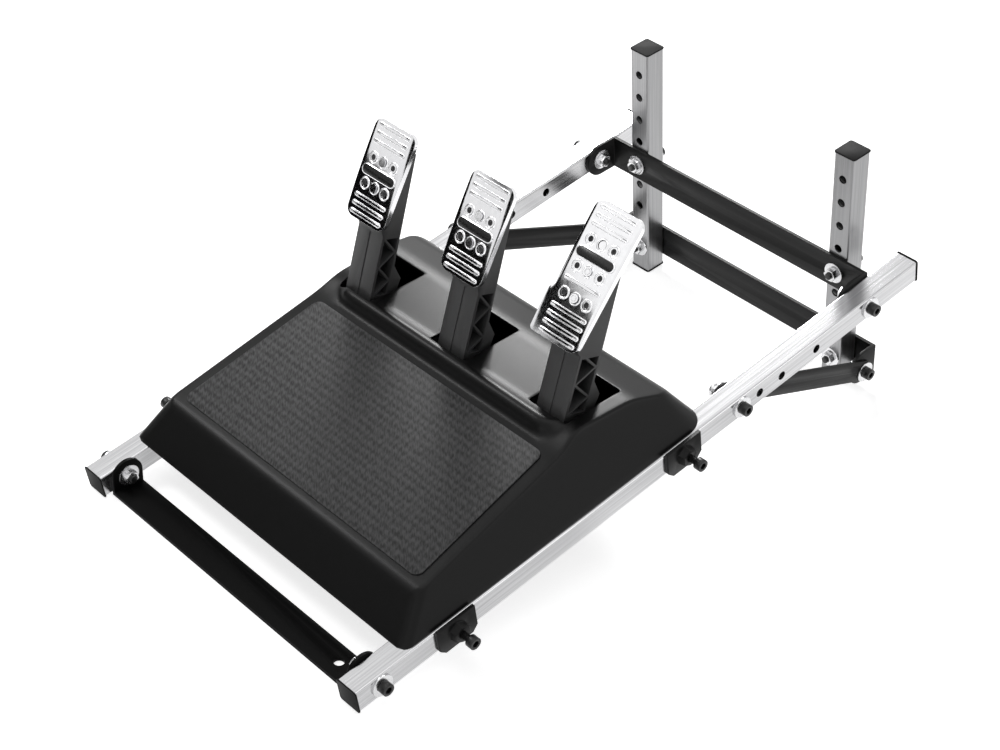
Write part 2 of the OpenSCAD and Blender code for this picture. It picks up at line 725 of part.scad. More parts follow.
// Hole rows from the lower edge of a plate: the long plate has one more grip bar below them
function low_bars(len) = len > face_len ? 4 : 3;
function low_row(len) = grip_z + (low_bars(len) - 1) * grip_pitch + row_gap;
function screw_rows(len) = [low_row(len), low_row(len) + row_pitch];
function dot_rows(len) = len > face_len ? concat(screw_rows(len), low_row(len) + 2 * row_pitch)
  : screw_rows(len);
function inlay_z(len) = low_row(len) + (len > face_len ? 1.5 : 0.5) * row_pitch;
module stadium(w, h) {
  square([w - h, h], center = true);
  for (s = [-1, 1]) translate([s * (w - h) / 2, 0]) circle(d = h);
}
// Plate outline, narrower toward the lower edge, the long one with a step out on its lower left
module face_outline(len) {
  round_out(face_round) polygon([[face_taper - face_w / 2, 0], [face_w / 2 - face_taper, 0],
    [face_w / 2, len], [-face_w / 2, len]]);
  if (len > face_len) round_out(face_round / 2) polygon([[face_taper - face_w / 2 - gas_step, 0], [0, 0],
    [0, gas_step_z], [face_taper - face_w / 2, gas_step_z],
    [face_taper - face_w / 2 - gas_step, gas_step_z - gas_step]]);
}
module face_marks(len) {
  for (k = [0:low_bars(len) - 1]) translate([0, grip_z + k * grip_pitch]) stadium(grip_len, grip_w);
  for (k = [0:2]) translate([0, len - grip_z - k * grip_pitch]) stadium(grip_len, grip_w);
  if (len > face_len) translate([0, low_row(len) + row_pitch / 2]) stadium(grip_len, grip_w);
}
module face_plate(len) {
  rotate([90, 0, 0]) {
    difference() {
      translate([0, 0, -face_t]) linear_extrude(face_t) face_outline(len);
      for (z = dot_rows(len), x = [-dot_pitch, dot_pitch]) translate([x, z, -face_t - 1])
        cylinder(h = face_t + 2, d = dot_d);
      for (z = screw_rows(len)) translate([0, z, -face_t - 1]) cylinder(h = face_t + 2, d = face_screw_d);
    }
    translate([0, 0, -rim_depth]) linear_extrude(rim_depth - eps) difference() {
      face_outline(len);
      offset(delta = -rim_wall) face_outline(len);
    }
    translate([0, 0, -eps]) linear_extrude(grip_h + eps) face_marks(len);
    translate([0, 0, -eps]) linear_extrude(ring_h + eps) {
      for (z = dot_rows(len), x = [-dot_pitch, dot_pitch]) translate([x, z]) difference() {
        circle(d = ring_d);
        circle(d = dot_d);
      }
      translate([0, inlay_z(len)]) stadium(inlay_len, inlay_w);
    }
  }
}
module face_screws(len) {
  for (z = screw_rows(len)) translate([0, 0, z]) {
    y_rod(-face_t * 2 / 3, 0, 0, 0, face_head_d);
    y_rod(-eps, face_t + screw_bite, 0, 0, face_screw_d);
  }
}
module clutch_arm() { arm(-1, face_y, face_z, face_tilt, face_len, arm_rear); }
module brake_arm() { arm(0, face_y, face_z, face_tilt, face_len, arm_rear); }
module accelerator_arm() { arm(1, gas_y, gas_z, gas_tilt, gas_len, arm_rear + pedal_step); }
module clutch_face() { color(zinc) face_frame(-1, face_y, face_z, face_tilt) face_plate(face_len); }
module brake_face() { color(zinc) face_frame(0, face_y, face_z, face_tilt) face_plate(face_len); }
module accelerator_face() { color(zinc) face_frame(1, gas_y, gas_z, gas_tilt) face_plate(gas_len); }
module clutch_face_screws() { color(zinc) face_frame(-1, face_y, face_z, face_tilt) face_screws(face_len); }
module brake_face_screws() { color(zinc) face_frame(0, face_y, face_z, face_tilt) face_screws(face_len); }
module accelerator_face_screws() {
  color(zinc) face_frame(1, gas_y, gas_z, gas_tilt) face_screws(gas_len);
}

left_rail();
right_rail();
left_rail_caps();
right_rail_caps();
left_post();
right_post();
left_post_caps();
right_post_caps();
upper_cross_plate();
lower_cross_plate();
front_crossbar();
left_brace_strap();
right_brace_strap();
front_screws();
brace_screws();
rear_rail_screws();
upper_post_screws();
lower_post_screws();
lower_tab_screws();
nuts_and_washers();
front_left_clamp();
front_right_clamp();
rear_left_clamp();
rear_right_clamp();
clamp_screws();
box_shell();
box_floor();
foot_mat();
pivot_brackets();
pivot_pins();
clutch_arm();
clutch_face();
clutch_face_screws();
brake_arm();
brake_face();
brake_face_screws();
accelerator_arm();
accelerator_face();
accelerator_face_screws();
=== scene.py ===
import json
import math

import bmesh
import bpy
from mathutils import Matrix, Vector


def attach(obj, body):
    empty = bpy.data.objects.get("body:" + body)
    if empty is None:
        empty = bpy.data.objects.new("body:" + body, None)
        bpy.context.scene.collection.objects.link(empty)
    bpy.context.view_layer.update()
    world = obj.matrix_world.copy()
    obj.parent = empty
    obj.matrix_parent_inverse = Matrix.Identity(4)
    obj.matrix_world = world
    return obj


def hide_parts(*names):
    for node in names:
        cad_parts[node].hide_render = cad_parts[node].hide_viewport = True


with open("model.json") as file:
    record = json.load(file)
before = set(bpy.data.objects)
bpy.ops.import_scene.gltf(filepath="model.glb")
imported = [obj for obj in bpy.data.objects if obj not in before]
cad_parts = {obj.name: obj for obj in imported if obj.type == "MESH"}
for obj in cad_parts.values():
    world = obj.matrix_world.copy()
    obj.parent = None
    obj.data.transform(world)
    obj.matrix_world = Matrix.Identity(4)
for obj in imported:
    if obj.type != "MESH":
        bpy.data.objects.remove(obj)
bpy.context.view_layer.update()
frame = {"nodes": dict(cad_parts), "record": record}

NODES = frame["nodes"]
BODIES = frame["record"]["behaviour"]["bodies"]
BODY_OF = {n: b for b, names in BODIES.items() for n in names}
SLOT_OF = {s["node"]: s["material_slot"] for s in frame["record"]["subparts"]}
scene = bpy.context.scene
MM = 0.001


# Camera at the photograph's viewing angle
RIGHT = Vector((0.67590522, 0.73601083, 0.03794994))
DOWN = Vector((0.44873076, -0.37014491, -0.81340854))
AHEAD = Vector((-0.58463051, 0.56681638, -0.58045358))
EYE = Vector((0.987312, -0.970496, 1.050461))
LENS, SENSOR_WIDTH = 76.426, 36.0


def make_camera():
    data = bpy.data.cameras.new("camera")
    cam = bpy.data.objects.new("camera", data)
    scene.collection.objects.link(cam)
    m = Matrix((RIGHT, -DOWN, -AHEAD)).transposed().to_4x4()
    m.translation = EYE
    cam.matrix_world = m
    data.lens = LENS
    data.sensor_width = SENSOR_WIDTH
    data.clip_start = 0.01
    scene.camera = cam


make_camera()


# Materials
RAIL_TILT = 10.99985
POST_LEAN = 6.66


def grey(v):
    """A barely cool grey."""
    return (v, v, v * 1.015)


def new_material(name, color, metallic, rough, spec=0.5):
    """A Principled material with its plain values set on the shader's own sockets."""
    mat = bpy.data.materials.new(name)
    mat.use_nodes = True
    nt = mat.node_tree
    bsdf = nt.nodes["Principled BSDF"]
    bsdf.inputs["Base Color"].default_value = (*color, 1)
    bsdf.inputs["Metallic"].default_value = metallic
    bsdf.inputs["Roughness"].default_value = rough
    bsdf.inputs["Specular IOR Level"].default_value = spec
    return mat, nt, bsdf


def noise(nt, scale, detail, stretch, turn):
    """Noise in object space, stretched along an axis that is turned about x."""
    co = nt.nodes.new("ShaderNodeTexCoord")
    mp = nt.nodes.new("ShaderNodeMapping")
    mp.inputs["Rotation"].default_value = (turn, 0, 0)
    if turn:
        mp.vector_type = "TEXTURE"
        mp.inputs["Scale"].default_value = [1 / s for s in stretch]
    else:
        mp.vector_type = "POINT"
        mp.inputs["Scale"].default_value = stretch
    tx = nt.nodes.new("ShaderNodeTexNoise")
    tx.inputs["Scale"].default_value = scale
    tx.inputs["Detail"].default_value = detail
    nt.links.new(co.outputs["Object"], mp.inputs["Vector"])
    nt.links.new(mp.outputs["Vector"], tx.inputs["Vector"])
    return tx.outputs["Fac"]


def spread(nt, fac, low, high, f0=0.3, f1=0.7):
    """Map a factor from f0..f1 to low..high."""
    r = nt.nodes.new("ShaderNodeMapRange")
    r.inputs["From Min"].default_value = f0
    r.inputs["From Max"].default_value = f1
    r.inputs["To Min"].default_value = low
    r.inputs["To Max"].default_value = high
    nt.links.new(fac, r.inputs["Value"])
    return r.outputs["Result"]


def shade(nt, fac, low, high, f0=0.3, f1=0.7):
    """Blend two colours by a factor."""
    m = nt.nodes.new("ShaderNodeMix")
    m.data_type = "RGBA"
    m.inputs["A"].default_value = (*low, 1)
    m.inputs["B"].default_value = (*high, 1)
    nt.links.new(spread(nt, fac, 0, 1, f0, f1), m.inputs["Factor"])
    return m.outputs["Result"]


def bump(nt, bsdf, fac, strength, distance):
    b = nt.nodes.new("ShaderNodeBump")
    b.inputs["Strength"].default_value = strength
    b.inputs["Distance"].default_value = distance
    nt.links.new(fac, b.inputs["Height"])
    nt.links.new(b.outputs["Normal"], bsdf.inputs["Normal"])


def plain(name, tones, rough, scale, bumps, metallic=0.0, spec=0.5, stretch=(1, 1, 1), turn=0.0):
    """A finish whose grey and roughness vary a little with noise; bumps are (strength, distance in m)."""
    low, high = (grey(tone) for tone in tones)
    mat, nt, bsdf = new_material(name, low, metallic, rough[0], spec)
    fac = noise(nt, scale, 4.0, stretch, math.radians(turn))
    nt.links.new(shade(nt, fac, low, high), bsdf.inputs["Base Color"])
    nt.links.new(spread(nt, fac, *rough), bsdf.inputs["Roughness"])
    bump(nt, bsdf, fac, *bumps)
    return mat


TUBE = plain("satin_tube", (0.45, 0.59), (0.15, 0.21), 700, (0.02, 0.0002), 1.0,
             stretch=(1, 0.012, 1), turn=RAIL_TILT)
# Painted shade: the posts get a darker copy of the satin tube finish, with the grain turned upright
POST = plain("satin_post_painted_shade", (0.26, 0.34), (0.28, 0.34), 700, (0.015, 0.0002), 1.0,
             stretch=(1, 1, 0.012), turn=POST_LEAN)
PLASTIC = plain("black_plastic", (0.003, 0.0045), (0.3, 0.36), 2600, (0.2, 0.0001), spec=0.17)
ARM = plain("arm_plastic", (0.04, 0.06), (0.45, 0.6), 2200, (0.25, 0.0001))
STEEL = plain("black_steel", (0.005, 0.007), (0.36, 0.46), 1200, (0.05, 0.0001), spec=0.17)
SCREW = plain("black_screw", (0.009, 0.016), (0.26, 0.4), 1800, (0.06, 0.0001), 0.3)
ZINC = plain("zinc_steel", (0.55, 0.78), (0.14, 0.3), 1500, (0.04, 0.0001), 1.0)
POLISH = plain("polished_steel", (0.84, 0.9), (0.06, 0.09), 240, (0.002, 0.00005), 1.0)
# Painted shade: dark metal that stands in for the shade inside the bores of the pedal faces
PAINTED_BORE_SHADE = plain("bore_painted_shade", (0.02, 0.03), (0.3, 0.4), 900, (0.02, 0.0001), 1.0)
# The crossbar gets a darker, duller copy of the black steel: black steel plus painted shade
CROSSBAR = plain("black_crossbar_painted_shade", (0.0015, 0.0025), (0.4, 0.5), 1200, (0.05, 0.0001), spec=0.06)
CAP = plain("cap_plastic", (0.004, 0.006), (0.5, 0.6), 2000, (0.1, 0.0001), spec=0.1)
INLAY = plain("blank_inlay", (0.004, 0.006), (0.25, 0.3), 900, (0.02, 0.0001))

# Foot mat weave: (axis, pitch in mm, share of the blend) of its two sets of ribs
WEAVE = (("X", 5.2, 0.3), ("Y", 6.4, 0.3))
WEAVE_TURN, DASH_STRETCH = 47, 8
WAVE_PER_MM = 314.16  # wave texture scale at which one wave is 1 mm long


def make_mat_material():
    """Fine weave: small dashes in rows across the mat over thin threads."""
    mat, nt, bsdf = new_material("mat_rubber", grey(0.05), 0.0, 0.62, 0.3)
    co = nt.nodes.new("ShaderNodeTexCoord")
    mp = nt.nodes.new("ShaderNodeMapping")
    mp.vector_type = "TEXTURE"
    mp.inputs["Rotation"].default_value = (0, 0, math.radians(WEAVE_TURN))
    mp.inputs["Scale"].default_value = (1, DASH_STRETCH, 1)
    thread = nt.nodes.new("ShaderNodeTexNoise")
    thread.inputs["Scale"].default_value = 1000
    thread.inputs["Detail"].default_value = 1.0
    nt.links.new(co.outputs["Object"], mp.inputs["Vector"])
    nt.links.new(mp.outputs["Vector"], thread.inputs["Vector"])
    fac = spread(nt, thread.outputs["Fac"], 0.0, 1.0, 0.33, 0.67)
    for axis, pitch, share in WEAVE:
        w = nt.nodes.new("ShaderNodeTexWave")
        w.bands_direction = axis
        w.inputs["Scale"].default_value = WAVE_PER_MM / pitch
        w.inputs["Distortion"].default_value = 1.2
        w.inputs["Detail"].default_value = 1.0
        w.inputs["Detail Scale"].default_value = 1.5
        nt.links.new(co.outputs["Object"], w.inputs["Vector"])
        mix = nt.nodes.new("ShaderNodeMix")
        mix.inputs["Factor"].default_value = share
        nt.links.new(fac, mix.inputs["A"])
        nt.links.new(w.outputs["Fac"], mix.inputs["B"])
        fac = mix.outputs["Result"]
    nt.links.new(shade(nt, fac, grey(0.006), grey(0.075), 0.15, 0.85), bsdf.inputs["Base Color"])
    bump(nt, bsdf, fac, 0.4, 0.0003)
    return mat


MAT_TOP = make_mat_material()
BY_SLOT = {"satin_tube": TUBE, "black_plastic": PLASTIC, "mat_rubber": MAT_TOP, "zinc_steel": ZINC,
           "polished_steel": POLISH, "black_steel": STEEL, "black_screw": SCREW}


def finish_of(node):
    """The finish of a CAD node: by its slot, with darker variants for some nodes."""
    # Posts of the satin tube slot get the darker copy of its finish: painted shade
    if "post" in node and SLOT_OF[node] == "satin_tube":
        return POST
    if node.endswith("_arm"):
        return ARM
    # Crossbar: black steel made darker, painted shade
    if node == "front_crossbar":
        return CROSSBAR
    if node.endswith("_caps"):
        return CAP
    return BY_SLOT[SLOT_OF[node]]


for name, obj in NODES.items():
    obj.data.materials.clear()
    obj.data.materials.append(finish_of(name))


# Pieces
def place(name, mesh, node, material):
    """Link a mesh as a piece that rides the node's body, with the material it is given."""
    obj = bpy.data.objects.new(name, mesh)
    scene.collection.objects.link(obj)
    mesh.materials.clear()
    mesh.materials.append(material)
    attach(obj, BODY_OF[node])
    return obj


def smooth(mesh, angle):
    """Smooth shading that stays sharp at edges above the angle."""
    for p in mesh.polygons:
        p.use_smooth = True
    mesh.set_sharp_from_angle(angle=math.radians(angle))


def baked(obj):
    """Apply all modifiers of an object."""
    dg = bpy.context.evaluated_depsgraph_get()
    mesh = bpy.data.meshes.new_from_object(obj.evaluated_get(dg))
    old = obj.data
    obj.modifiers.clear()
    obj.data = mesh
    bpy.data.meshes.remove(old)


def soften(node, width, harden=True):
    """The CAD piece again with rounded edges in place of sharp ones."""
    mesh = NODES[node].data.copy()
    bm = bmesh.new()
    bm.from_mesh(mesh)
    bmesh.ops.remove_doubles(bm, verts=bm.verts, dist=2e-6)
    bmesh.ops.dissolve_limit(bm, angle_limit=math.radians(0.6), verts=bm.verts, edges=bm.edges)
    bm.to_mesh(mesh)
    bm.free()
    obj = place(node + "_soft", mesh, node, finish_of(node))
    mod = obj.modifiers.new("edges", "BEVEL")
    mod.width = width * MM
    mod.segments = 2
    mod.limit_method = "ANGLE"
    mod.angle_limit = math.radians(32)
    mod.harden_normals = harden
    mod.use_clamp_overlap = True
    for p in mesh.polygons:
        p.use_smooth = True
    baked(obj)
    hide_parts(node)
    return obj


# Edge radius in mm for nodes whose names end so; the face plates and their screws are made further on
EDGE_RADIUS = {
    "_caps": 0.5,
    "pivot_brackets": 0.5,
    "_cross_plate": 0.6,
    "_strap": 0.6,
    "front_crossbar": 0.6,
    "_clamp": 0.5,
    "screws": 0.5,
    "nuts_and_washers": 0.3,
    "_arm": 0.45,
    "foot_mat": 0.4,
}

for node in NODES:
    for ending, radius in EDGE_RADIUS.items():
        if node.endswith(ending) and "face" not in node:
            soften(node, radius)


# Frames of part.scad, in millimetres
RAIL_MIDDLE, RAIL_LIFT = 294.47955, 0.7853
BOX_START, TUBE_SIZE = 47.3, 20
PEDAL_PITCH, PEDAL_STEP = 107, 4  # from pedal to pedal across, and how far each pivot lies behind the last
PIVOT_Y, PIVOT_Z = 197.9, 24
ARM_LEAN = -24.8
GAS_LENGTH = 108.0
# Pedal: (place from the middle, face forward of the pivot, face above the pivot, face tilt, face length)
FACES = {
    "clutch": (-1, 22.5, 88.8, 11.0, 81.0),
    "brake": (0, 22.5, 88.8, 11.0, 81.0),
    "accelerator": (1, 29.5, 86.0, 21.3, GAS_LENGTH),
}
# Crown of each face in mm, and where along the face it is highest
BOW = {"clutch": 1.1, "brake": 1.1, "accelerator": 1.3}
BOW_AT = {"clutch": 0.5, "brake": 0.5, "accelerator": 0.62}


def shift(x, y, z):
    return Matrix.Translation((x, y, z))


def turn_x(deg):
    return Matrix.Rotation(math.radians(deg), 4, "X")


RAIL = Matrix.Scale(MM, 4) @ shift(0, -RAIL_MIDDLE, RAIL_LIFT) @ turn_x(RAIL_TILT)
BOX = RAIL @ shift(0, BOX_START, TUBE_SIZE)


def face_matrix(pedal):
    """Frame of a face plate: x across, y into the plate, z up along it from its lower edge."""
    i, fy, fz, tilt, _ = FACES[pedal]
    arm = BOX @ shift(i * PEDAL_PITCH, PIVOT_Y + i * PEDAL_STEP, PIVOT_Z) @ turn_x(ARM_LEAN)
    return arm @ shift(0, -fy, fz) @ turn_x(-tilt)


# Moulded box shell: rows along its outline, blended from the middle of the ridge to its ends
BOX_W, BOX_L, DRAFT, WALL = 325.8, 310.0, 0.46, 3.0
FRONT_SLOPE, REAR_SLOPE = 30 / 28, 21.5 / 34
FRONT_CORNER, REAR_CORNER, REAR_CORNER_FADE = 8, 20, 0.27
FRONT_PROFILE = [(0, 0), (30, 28), (180, 47)]
REAR_PROFILE = [(226, 51.0), (254, 47.55), (288.5, 34), (310, 0)]
MIDDLE = FRONT_PROFILE + [(187.6, 58.5), (198.4, 54.1)] + REAR_PROFILE
ENDS = FRONT_PROFILE + [(200, 54.6), (212, 52.8)] + REAR_PROFILE
# How far from each profile point its rounding starts, and the steps along each straight and each arc
MIDDLE_CUT = [0, 5, 3.5, 6.5, 5, 9, 9, 8, 0]
ENDS_CUT = [0, 5, 9, 9, 2, 8, 9, 8, 0]
STRAIGHT = [12, 30, 3, 2, 4, 8, 8, 14]
ARC = 7
EDGE, WALL_STEPS, EDGE_STEPS = 2.2, 9, 6  # rounding between wall and top
RIM_STEP, RIM_COUNT, MIDDLE_COUNT = 2.4, 10, 16  # columns near the wall, then on to the middle
BLEND_FROM, BLEND_OVER = 110, 19  # x at which the ridge starts to turn into its end, and over what length
SLOT_SIZE, SLOT_Y, SLOT_Z, SLOT_ROUND = (40.2, 58, 60), 194.35 + 29, 71.5, 3


def row_points(points, cuts):
    """Points along a profile whose corners are rounded by quadratic arcs."""
    rows = []
    pts = [Vector(q) for q in points]
    for k in range(len(pts) - 1):
        way = (pts[k + 1] - pts[k]).normalized()
        start = pts[k] + way * cuts[k]
        end = pts[k + 1] - way * cuts[k + 1]
        rows += [start.lerp(end, j / STRAIGHT[k]) for j in range(STRAIGHT[k] + 1)]
        if k < len(pts) - 2:
            out = (pts[k + 2] - pts[k + 1]).normalized()
            far = pts[k + 1] + out * cuts[k + 1]
            for j in range(1, ARC):
                t = j / ARC
                rows.append(end.lerp(pts[k + 1], t).lerp(pts[k + 1].lerp(far, t), t))
    return rows


def corner_in(s, radius):
    """How far a rounded corner comes in at a distance s from its end."""
    if s >= radius:
        return 0.0
    return radius - math.sqrt(max(radius ** 2 - (radius - max(s, 0.0)) ** 2, 0.0))


def half_width(y, z):
    front = corner_in(y - FRONT_SLOPE * z, FRONT_CORNER)
    rear = corner_in(BOX_L - y - REAR_SLOPE * z, REAR_CORNER - REAR_CORNER_FADE * z)
    return BOX_W / 2 - DRAFT * z - front - rear


def ease(t):
    t = min(max(t, 0.0), 1.0)
    return t * t * (3 - 2 * t)


def half_row(mid, end):
    """Points of one row from the foot of the right wall to the middle."""
    y, z = end
    r = min(EDGE, 0.45 * z)
    low = z - r
    heights = [low * k / WALL_STEPS for k in range(WALL_STEPS + 1)]
    wall = [(half_width(y, h), y, h) for h in heights]
    top = half_width(y, z)
    a, c, b = Vector((half_width(y, low), low)), Vector((top, z)), Vector((top - r, z))
    for k in range(1, EDGE_STEPS):
        t = k / EDGE_STEPS
        q = a.lerp(c, t).lerp(c.lerp(b, t), t)
        wall.append((q[0], y, q[1]))
    across = [b[0] - k * RIM_STEP for k in range(RIM_COUNT + 1)]
    across += [across[-1] * (1 - k / MIDDLE_COUNT) for k in range(1, MIDDLE_COUNT + 1)]
    for x in across:
        w = ease((x - BLEND_FROM) / BLEND_OVER) if z >= 30 else 1.0
        wall.append((x, mid[0] + (y - mid[0]) * w, mid[1] + (z - mid[1]) * w))
    return wall


def shell_skin():
    """Outer skin of the shell as a mesh."""
    verts, faces = [], []
    rows = list(zip(row_points(MIDDLE, MIDDLE_CUT), row_points(ENDS, ENDS_CUT)))
    for mid, end in rows:
        right = half_row(mid, end)
        line = right + [(-x, y, z) for x, y, z in reversed(right[:-1])]
        verts += line
    count = len(line)
    for j in range(len(rows) - 1):
        for k in range(count - 1):
            a = j * count + k
            faces.append((a, a + 1, a + count + 1, a + count))
    mesh = bpy.data.meshes.new("box_shell_moulded")
    mesh.from_pydata([BOX @ Vector(v) for v in verts], [], faces)
    bm = bmesh.new()
    bm.from_mesh(mesh)
    bmesh.ops.remove_doubles(bm, verts=bm.verts, dist=2e-5)
    bmesh.ops.recalc_face_normals(bm, faces=bm.faces)
    if sum(f.normal.z * f.calc_area() for f in bm.faces) < 0:
        bmesh.ops.reverse_faces(bm, faces=bm.faces)
    bm.to_mesh(mesh)
    bm.free()
    return mesh


def slot_cutter(i):
    """Block with rounded upright edges that cuts the slot of pedal i."""
    cut = bpy.data.meshes.new("cut")
    bm = bmesh.new()
    bmesh.ops.create_cube(bm, size=1)
    centre = shift(i * PEDAL_PITCH, SLOT_Y + i * PEDAL_STEP, SLOT_Z)
    bmesh.ops.transform(bm, matrix=BOX @ centre @ Matrix.Diagonal((*SLOT_SIZE, 1)), verts=bm.verts)
    upright = [e for e in bm.edges if abs((e.verts[0].co - e.verts[1].co).normalized().z) > 0.9]
    bmesh.ops.bevel(bm, geom=upright, offset=SLOT_ROUND * MM, segments=4, affect="EDGES", profile=0.5)
    bmesh.ops.recalc_face_normals(bm, faces=bm.faces)
    bm.to_mesh(cut)
    bm.free()
    tool = bpy.data.objects.new("cut", cut)
    scene.collection.objects.link(tool)
    return tool


def box_shell():
    """The moulded shell: skin, wall, the three pedal slots and softened slot edges."""
    obj = place("box_shell_moulded", shell_skin(), "box_shell", PLASTIC)
    solid = obj.modifiers.new("wall", "SOLIDIFY")
    solid.thickness = WALL * MM
    solid.offset = -1
    cutters = []
    for i in (-1, 0, 1):
        tool = slot_cutter(i)
        mod = obj.modifiers.new("slot", "BOOLEAN")
        mod.object = tool
        mod.operation = "DIFFERENCE"
        mod.solver = "MANIFOLD"
        cutters.append(tool)
    edge = obj.modifiers.new("edge", "BEVEL")
    edge.width = 0.7 * MM
    edge.segments = 2
    edge.limit_method = "ANGLE"
    edge.angle_limit = math.radians(55)
    baked(obj)
    for tool in cutters:
        mesh = tool.data
        bpy.data.objects.remove(tool)
        bpy.data.meshes.remove(mesh)
    smooth(obj.data, 50)
    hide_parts("box_shell")


box_shell()


# Pedal faces: crowned plates with pressed rings, bars, a blank inlay and screw heads
LATHE_STEPS, STADIUM_STEPS = 40, 14
# Where the stepped side of the accelerator's plate ends, and how far out the side rolls start
STEP_TOP, STEP_ROLL, SIDE_ROLL, ROLL_WIDTH = 37, 24.0, 19.5, 4.5
FACE_DEPTH = 4.2
CUTS_X = (-27.2, -26.0, -24.8, -22.9, -21.8, -20.6, -19.5, -10, 0, 10, 19.5, 20.6, 21.8, 22.9)
BANDS = 14
# Turned profiles: (radius, height out of the face)
RING = [(5.3, 0.02), (5.0, 0.45), (4.5, 0.8), (4.0, 0.85), (3.6, 0.62)]
# The bore walls carry painted shade: they get the dark bore finish
BORE = [(3.6, 0.62), (3.2, 0.0), (2.7, -1.0), (2.35, -2.0)]
BLIND_BORE = BORE[:-1] + [(0.02, -0.9)]
SCREW_RING = [(5.2, 0.02), (4.9, 0.6), (4.5, 0.8), (4.1, 0.55)]
SCREW_HEAD = [(3.5, 0.0), (3.5, 1.0), (3.2, 1.45), (2.6, 1.6),
              (1.7, 1.6), (1.5, 1.45), (1.45, 0.5), (0.05, 0.45)]
# Stadiums: width, height and (inset, height out of the face) of each level
BAR = (36, 3.2, [(-0.3, -0.05), (-0.2, 0.4), (0.05, 0.72), (0.45, 0.86), (0.8, 0.8), (1.0, 0.74)])
FIELD = (37, 7.4, [(0.0, 0.02), (0.0, 0.95), (0.2, 1.05)])
FIELD_RIM = (38.4, 8.8, [(0.0, 0.02), (0.1, 0.8), (0.4, 1.15), (0.75, 1.2), (0.95, 0.9)])
# Places along the face: the first bar, from bar to bar, from the last low bar to the first holes
BAR_EDGE, BAR_PITCH, BAR_TO_HOLES = 4.4, 6.8, 11
# From one row of holes to the next, and from the middle out to a hole
HOLE_PITCH, HOLE_X = 21.6, 11.6


def ring_faces(bm, loops):
    """Quads between one closed loop of vertices and the next."""
    n = len(loops[0])
    for a, b in zip(loops, loops[1:]):
        for k in range(n):
            bm.faces.new((a[k], a[(k + 1) % n], b[(k + 1) % n], b[k]))


def lathe(bm, matrix, centre, profile):
    """Turned surface about the face normal."""
    rings = []
    for r, h in profile:
        ring = []
        for k in range(LATHE_STEPS):
            t = 2 * math.pi * k / LATHE_STEPS
            point = Vector((centre[0] + r * math.cos(t), -h, centre[1] + r * math.sin(t)))
            ring.append(bm.verts.new(matrix @ point))
        rings.append(ring)
    ring_faces(bm, rings)


def stadium(bm, matrix, centre, shape, last=True):
    """Raised stadium, closed on top unless last is False."""
    w, h, levels = shape
    loops = []
    for inset, out in levels:
        loop = []
        r = h / 2 - inset
        for s in (1, -1):
            for k in range(STADIUM_STEPS + 1):
                t = math.pi * (k / STADIUM_STEPS - 0.5)
                x = s * ((w - h) / 2 + r * math.cos(t))
                z = s * r * math.sin(t)
                loop.append(bm.verts.new(matrix @ Vector((centre[0] + x, -out, centre[1] + z))))
        loops.append(loop)
    ring_faces(bm, loops)
    if last:
        bm.faces.new(loops[-1])


def bow(bm, pedal):
    """Crown a face a little both ways, most at its front surface and none at its rear rim."""
    m = face_matrix(pedal)
    back = m.inverted()
    length, level = FACES[pedal][4], BOW_AT[pedal]
    for v in bm.verts:
        q = back @ v.co
        t = (q.z / length - level) * 2
        fade = 1 - min(max(q.y, 0.0) / FACE_DEPTH, 1.0)
        stepped = q.x < 0 and q.z < STEP_TOP and length == GAS_LENGTH
        roll = max(0.0, abs(q.x) - (STEP_ROLL if stepped else SIDE_ROLL)) / ROLL_WIDTH
        q.y += fade * (BOW[pedal] * t * t + 0.25 * (q.x / 24) ** 2 + 0.9 * roll ** 2)
        v.co = m @ q


def bowed_face(pedal):
    """The CAD face plate with soft edges, cut into bands and crowned."""
    obj = soften(pedal + "_face", 0.25, harden=False)
    m = face_matrix(pedal)
    length = FACES[pedal][4]
    bm = bmesh.new()
    bm.from_mesh(obj.data)
    cuts = [((0, 0, length * k / BANDS), (0, 0, 1)) for k in range(1, BANDS)]
    cuts += [((x, 0, 0), (1, 0, 0)) for x in CUTS_X]
    for at, way in cuts:
        bmesh.ops.bisect_plane(bm, geom=bm.verts[:] + bm.edges[:] + bm.faces[:], dist=2e-6,
                               plane_co=m @ Vector(at), plane_no=(m.to_3x3() @ Vector(way)).normalized())
    bow(bm, pedal)
    bm.to_mesh(obj.data)
    bm.free()
    smooth(obj.data, 38)
    mod = obj.modifiers.new("normals", "WEIGHTED_NORMAL")
    mod.keep_sharp = True
    mod.weight = 80
    baked(obj)


def bm_piece(bm, name, node, material, angle, pedal=None):
    """Turn a bmesh into a piece, crowned with the pedal's face where one is given."""
    if pedal:
        bow(bm, pedal)
    bmesh.ops.recalc_face_normals(bm, faces=bm.faces)
    mesh = bpy.data.meshes.new(name)
    bm.to_mesh(mesh)
    bm.free()
    smooth(mesh, angle)
    return place(name, mesh, node, material)


